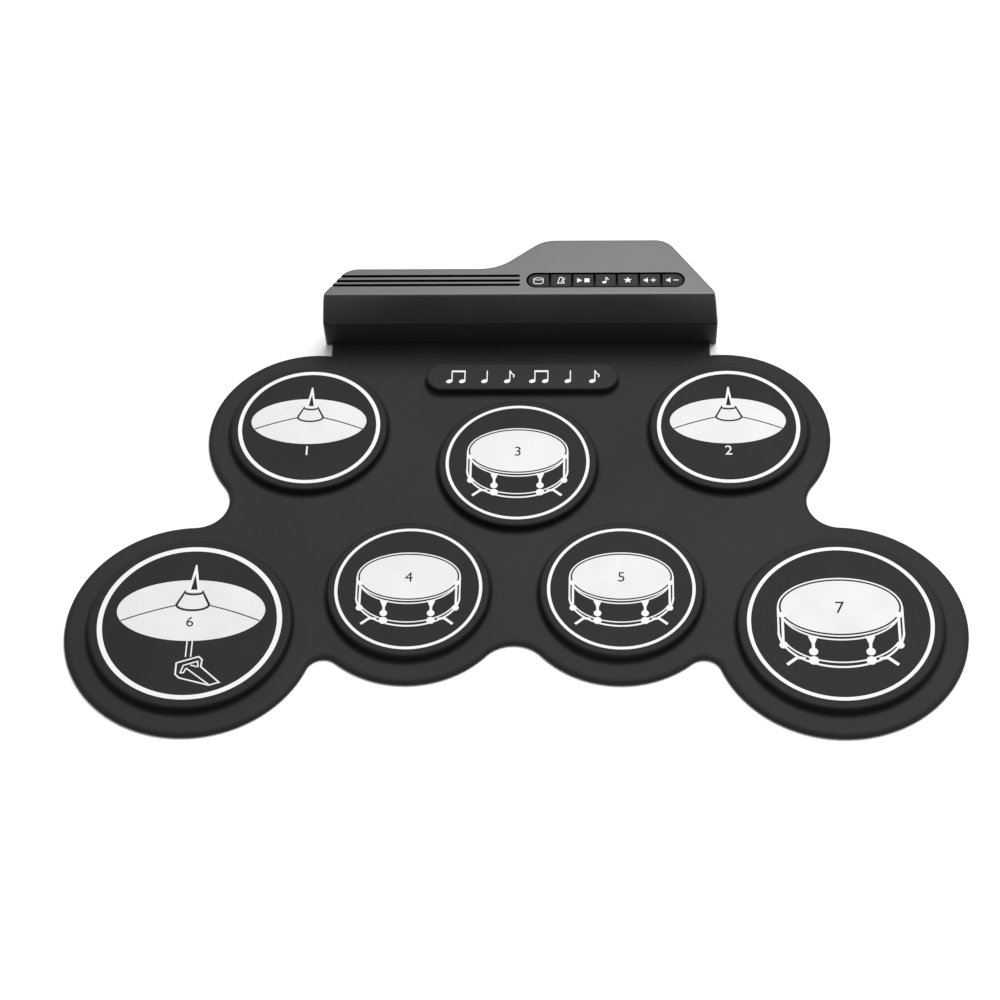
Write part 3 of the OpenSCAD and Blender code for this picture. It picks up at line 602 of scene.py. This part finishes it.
# A row of notes on the label bar
pr = Print()
low = -3.4
for k, x in enumerate([-38.3, -19.8, -7.8, 5.4, 24.1, 37.0]):
    if k % 3 == 0:
        note(pr, x, low, 7.0, False)
        note(pr, x + 6.8, low, 7.0, False)
        pr.line([(x + 1.05, low + 6.7), (x + 8.45, low + 6.7)], 1.2, WHITE, 2)
    else:
        note(pr, x, low, 7.2, k % 3 == 2)
pr.build("print_label", *label_at, label_box[1][2], "mat", "silicone_mat")


# ---------------------------------------------------------------- controller, upper shell

ctrl_low, ctrl_high = box_mm("top_case")
split_z = ctrl_low[2]
ctrl_h = ctrl_high[2]
front_y, back_y, step_y, half_l = 103.3, 144.9, 123.7, 104.9
mid_y = (front_y + back_y) / 2
draft_x, draft_y = 0.984, 0.9375
EDGE = 0.8
wall = 1.8
CORNERS = [(-half_l, front_y), (half_l, front_y), (half_l - 0.5, front_y + 3), (79.1, back_y),
           (12.6, back_y), (-12, step_y), (-92.7, step_y), (-half_l + 0.6, front_y + 2.6)]
RADII = [1.2, 1.2, 6, 12, 18, 26, 12, 6]
STEPS = [6, 6, 8, 18, 18, 22, 18, 8]


def shell_outline(inset):
    def inward(a, b):
        v = Vector(b) - Vector(a)
        return Vector((-v.y, v.x)).normalized()

    n = len(CORNERS)
    p = []
    for i in range(n):
        n1 = inward(CORNERS[i - 1], CORNERS[i])
        n2 = inward(CORNERS[i], CORNERS[(i + 1) % n])
        p.append(Vector(CORNERS[i]) + inset * (n1 + n2) / (1 + n1.dot(n2)))
    out = []
    for i in range(n):
        a, b, c = p[i - 1], p[i], p[(i + 1) % n]
        left = (b.x - a.x) * (c.y - b.y) - (b.y - a.y) * (c.x - b.x) > 0
        u, w = (a - b).normalized(), (c - b).normalized()
        half = acos(max(-1, min(1, u.dot(w)))) / 2
        r = max(0.4, RADII[i] - (inset if left else -inset))
        r = min(r, 0.45 * min((a - b).length, (c - b).length) * tan(half))
        centre = b + (u + w).normalized() * r / sin(half)
        s, e = b + u * r / tan(half), b + w * r / tan(half)
        out += arc(centre, r, aim(centre, s), aim(centre, e), 1 if left else -1, STEPS[i])
    return out


def shell_ring(z, inset):
    """The outline at one height. It draws in towards the top, as the mould's draft does."""
    t = (z - split_z) / (ctrl_h - EDGE - split_z)
    sx, sy = 1 + (draft_x - 1) * t, 1 + (draft_y - 1) * t
    return [(x * sx, mid_y + (y - mid_y) * sy, z) for x, y in shell_outline(inset)]


outer = [(split_z + 0.02, 0.45), (split_z + 0.5, 0.0), (split_z + 8, 0.0), (ctrl_h - 6, 0.0),
         (ctrl_h - 3.5, 0.08), (ctrl_h - 2, 0.2)]
for a in [radians(d) for d in range(0, 91, 15)]:
    outer.append((ctrl_h - EDGE + EDGE * sin(a), 0.3 + EDGE * (1 - cos(a))))
outer += [(ctrl_h, EDGE + 0.8)]
inner = [(split_z + 0.02, wall), (split_z + 10, wall), (ctrl_h - 2.2, wall)]
shell_n = len(shell_outline(0))
verts, faces = [], []
for z, inset in outer + inner:
    verts += shell_ring(z, inset)
for k in range(len(outer) - 1):
    faces += ring_faces(k * shell_n, (k + 1) * shell_n, shell_n)
first_in = len(outer) * shell_n
for k in range(len(inner) - 1):
    faces += ring_faces(first_in + (k + 1) * shell_n, first_in + k * shell_n, shell_n)
faces += ring_faces(first_in, 0, shell_n)
faces.append(tuple(range(first_in - shell_n, first_in)))
faces.append(tuple(range(len(verts) - 1, len(verts) - 1 - shell_n, -1)))
shell = add_mesh("shell_upper_moulded", verts, faces, [SHELL_TOP], crease=30)

window_x, window_l, window_w, window_y = 3.7, 83.4, 10.4, 115.0
window_depth = 6
groove_x, groove_l, groove_w, groove_depth = -57, 115, 1.7, 1.7
groove_ys = (118.1, 114.8, 111.8)
jack_xs, jack_z, jack_r = (27, 38, 49, 60), 23.4, 3.4
above = 1

def prism(name, loop, low, high, material=SHELL_TOP):
    n = len(loop)
    v = [(x, y, low) for x, y in loop] + [(x, y, high) for x, y in loop]
    f = ring_faces(0, n, n) + [tuple(range(n - 1, -1, -1)), tuple(range(n, 2 * n))]
    return add_mesh(name, v, f, [material])


def rod_y(name, x, z, r, y0, y1, n=48):
    v = [(x + r * cos(tau * i / n), y0, z + r * sin(tau * i / n)) for i in range(n)]
    v += [(vx, y1, vz) for vx, _, vz in v]
    f = ring_faces(0, n, n) + [tuple(range(n - 1, -1, -1)), tuple(range(n, 2 * n))]
    return add_mesh(name, v, f, [SHELL_TOP])


def block(name, a, b):
    return prism(name, [(a[0], a[1]), (b[0], a[1]), (b[0], b[1]), (a[0], b[1])], a[2], b[2])


window = stadium(window_x + window_l / 2, window_y, window_l, window_w, 0, 24)
# The cutters for the window and the grooves carry the near-black painted shade, and the boolean passes it
# on to the faces they cut.
cutters = [prism("cut_window", window, ctrl_h - window_depth, ctrl_h + above, SLOT_PAINTED_SHADE)]
for y in groove_ys:
    groove = stadium(groove_x, y, groove_l, groove_w, 0, 8)
    cutters.append(prism("cut_groove", groove, ctrl_h - groove_depth, ctrl_h + above, SLOT_PAINTED_SHADE))
cut_y0, cut_y1 = 138, 150
for x in jack_xs:
    cutters.append(rod_y("cut_jack", x, jack_z, jack_r, cut_y0, cut_y1))
cutters.append(block("cut_usb", (63.9, cut_y0, 19.85), (73.3, cut_y1, 23.85)))
speaker_x, speaker_z, grille_r, slot_pitch, slot_half = -61.5, 20.6, 15.0, 3.6, 0.8
for i in range(-4, 5):
    x = speaker_x + slot_pitch * i
    top = speaker_z + sqrt(grille_r ** 2 - (slot_pitch * i) ** 2)
    cutters.append(block("cut_slot", (x - slot_half, 119, split_z - 1), (x + slot_half, 130, top)))
for c in cutters:
    mod = shell.modifiers.new("cut", "BOOLEAN")
    mod.object = c
    mod.operation = "DIFFERENCE"
    mod.solver = "EXACT"
    mod.material_mode = "TRANSFER"
bpy.context.view_layer.update()
cut_mesh = bpy.data.meshes.new_from_object(shell.evaluated_get(bpy.context.evaluated_depsgraph_get()))
shell.modifiers.clear()
shell.data = cut_mesh
for c in cutters:
    bpy.data.objects.remove(c)
shell.data.shade_smooth()
shell.data.set_sharp_from_angle(angle=radians(30))
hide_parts("top_case")
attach(shell, "controller")


# ---------------------------------------------------------------- keys

pitch, gap, side_gap = 11.7, 0.95, 0.9
corner_r = 0.45
last_key = len(KEYS) - 1
end_l = (window_l - 5 * pitch) / 2
cap_w = window_w - 2 * side_gap
key_top = box_mm("key_kit")[1][2]


def key_outline(i, inset):
    """One cap's outline, moved inwards by inset. The first and the last cap have a round end."""
    left = window_x + (side_gap if i == 0 else end_l + (i - 1) * pitch + gap / 2) + inset
    right = window_x + (window_l - side_gap if i == last_key else end_l + i * pitch - gap / 2) - inset
    w = cap_w / 2 - inset
    c = corner_r
    end_r = cap_w / 2
    points = []
    if i == last_key:
        points += arc((right + inset - end_r, window_y), end_r - inset, -90, 90, 1, 24)
    else:
        points += arc((right - c, window_y - w + c), c, -90, 0, 1, 4)
        points += arc((right - c, window_y + w - c), c, 0, 90, 1, 4)
    if i == 0:
        points += arc((left - inset + end_r, window_y), end_r - inset, 90, 270, 1, 24)
    else:
        points += arc((left + c, window_y + w - c), c, 90, 180, 1, 4)
        points += arc((left + c, window_y - w + c), c, 180, 270, 1, 4)
    return points


key_profile = [(key_top - 3.2, 0.0), (key_top - 0.5, 0.0)]
for a in [radians(d) for d in (22, 45, 67, 90)]:
    key_profile.append((key_top - 0.5 + 0.5 * sin(a), 0.5 * (1 - cos(a))))
key_profile += [(key_top, 0.75), (key_top - 0.12, 2.2)]


def symbol(pr, key):
    """The plain picture on one key."""
    if key == "kit":
        pr.ring(0, 1.1, 2.7, 1.0, 0.45, WHITE, n=40)
        pr.line([(-2.45, 0.9), (-2.45, -1.4)], 0.45, WHITE)
        pr.line([(2.45, 0.9), (2.45, -1.4)], 0.45, WHITE)
        pr.line(ellipse(0, -1.4, 2.45, 0.9, 20, 180, 360), 0.45, WHITE)
    elif key == "click":
        pr.line([(-1.7, -1.9), (1.7, -1.9), (0.65, 2.1), (-0.65, 2.1)], 0.48, WHITE, closed=True)
        pr.line([(0, -1.3), (2.1, 1.6)], 0.45, WHITE, 1)
    elif key == "play_stop":
        pr.shape([[(-3.2, -1.6), (-0.5, 0), (-3.2, 1.6)]], WHITE)
        pr.shape([[(0.6, -1.35), (3.3, -1.35), (3.3, 1.35), (0.6, 1.35)]], WHITE)
    elif key == "demo":
        pr.shape([ellipse(-0.7, -1.4, 1.1, 0.8, 20)], WHITE)
        pr.line([(0.2, -1.2), (0.2, 2.1)], 0.45, WHITE, 1)
        pr.line([(0.2, 2.1), (1.2, 1.1), (1.5, 0.2)], 0.5, WHITE)
    elif key == "special":
        star = [(2.3 if k % 2 == 0 else 0.95, radians(90 + 36 * k)) for k in range(10)]
        pr.shape([[(r * cos(a), r * sin(a)) for r, a in star]], WHITE)
    else:
        pr.shape([[(-3.3, -0.65), (-2.5, -0.65), (-1.2, -1.7),
                   (-1.2, 1.7), (-2.5, 0.65), (-3.3, 0.65)]], WHITE)
        pr.line([(0.3, 0), (3.1, 0)], 0.55, WHITE)
        if key == "volume_up":
            pr.line([(1.7, -1.4), (1.7, 1.4)], 0.55, WHITE, 1)


for i, k in enumerate(KEYS):
    verts, faces = [], []
    for z, inset in key_profile:
        verts += [(x, y, z) for x, y in key_outline(i, inset)]
    n = len(key_outline(i, 0))
    for j in range(len(key_profile) - 1):
        faces += ring_faces(j * n, (j + 1) * n, n)
    faces.append(tuple(range(n - 1, -1, -1)))
    faces.append(tuple(range(len(verts) - n, len(verts))))
    key = add_mesh("keycap_" + k, verts, faces, [KEY_RUBBER], crease=50)
    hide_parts("key_" + k)
    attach(key, "key_" + k)
    xs = [x for x, y in key_outline(i, 0)]
    pr = Print()
    symbol(pr, k)
    pr.build("print_key_" + k, (min(xs) + max(xs)) / 2, window_y, key_top - 0.1, "key_" + k, "key_plastic")


# ---------------------------------------------------------------- materials on the CAD parts that show

BY_SLOT = {"foam": FOAM, "printed_film": FILM, "steel": STEEL, "shell_upper": SHELL_TOP,
           "shell_lower": SHELL_LOW, "rubber": RUBBER, "key_plastic": KEY_RUBBER,
           "black_plastic": BLACK_PLASTIC, "circuit_board": BOARD, "wire": WIRE, "cell_jacket": CELL,
           "silicone_mat": SILICONE, "silicone_pad": PAD_SILICONE}
for part in frame["record"]["subparts"]:
    m = BY_SLOT[part["material_slot"]]
    if part["node"] in ("key_membrane", "key_domes"):
        m = INNER_RUBBER
    if part["node"] == "speaker_cone":
        m = PAPER
    data = nodes[part["node"]].data
    if len(data.materials):
        for j in range(len(data.materials)):
            data.materials[j] = m
    else:
        data.materials.append(m)


# ---------------------------------------------------------------- floor, light and camera

floor_mesh = bpy.data.meshes.new("studio_floor")
reach, under = 8, -0.0002
corners = [(x * reach, y * reach, under) for x, y in ((-1, -1), (1, -1), (1, 1), (-1, 1))]
floor_mesh.from_pydata(corners, [], [(0, 1, 2, 3)])
floor = bpy.data.objects.new("studio_floor", floor_mesh)
bpy.context.scene.collection.objects.link(floor)
floor_mesh.materials.append(surface("floor_white", grey(0.88), grey(0.9), (0.9, 0.95), 40, 0.00001,
                                    patch=0.6, specular=0.1))


def area(name, place, target, size, power):
    light = bpy.data.lights.new(name, "AREA")
    light.shape = "RECTANGLE"
    light.size, light.size_y = size
    light.energy = power
    o = bpy.data.objects.new(name, light)
    o.location = place
    o.rotation_euler = (Vector(target) - Vector(place)).to_track_quat("-Z", "Y").to_euler()
    bpy.context.scene.collection.objects.link(o)


area("soft_back", (0.45, 0.95, 2.35), (0, 0, 0), (1.6, 1.2), 70)
area("soft_top", (0.1, 0.2, 2.7), (0, 0, 0), (3.2, 3.0), 12)
world = bpy.data.worlds.new("studio")
bpy.context.scene.world = world
world.use_nodes = True
world.node_tree.nodes["Background"].inputs["Color"].default_value = (1, 1, 1, 1)
world.node_tree.nodes["Background"].inputs["Strength"].default_value = 0.30
bpy.context.scene.view_settings.view_transform = "Standard"

eye = Vector((0.0491, -0.95245, 1.2555))
look = Vector((-0.0085, -0.00515, 0.008))
forward = (look - eye).normalized()
side = forward.cross(Vector((0, 0, 1))).normalized()
up = side.cross(forward)
roll = radians(-2.82)
side, up = cos(roll) * side + sin(roll) * up, -sin(roll) * side + cos(roll) * up
lens = bpy.data.cameras.new("camera")
lens.lens = 110.4
lens.sensor_width = 36
lens.clip_start = 0.05
camera = bpy.data.objects.new("camera", lens)
camera.matrix_world = Matrix(((side.x, up.x, -forward.x, eye.x), (side.y, up.y, -forward.y, eye.y),
                              (side.z, up.z, -forward.z, eye.z), (0, 0, 0, 1)))
bpy.context.scene.collection.objects.link(camera)
bpy.context.scene.camera = camera
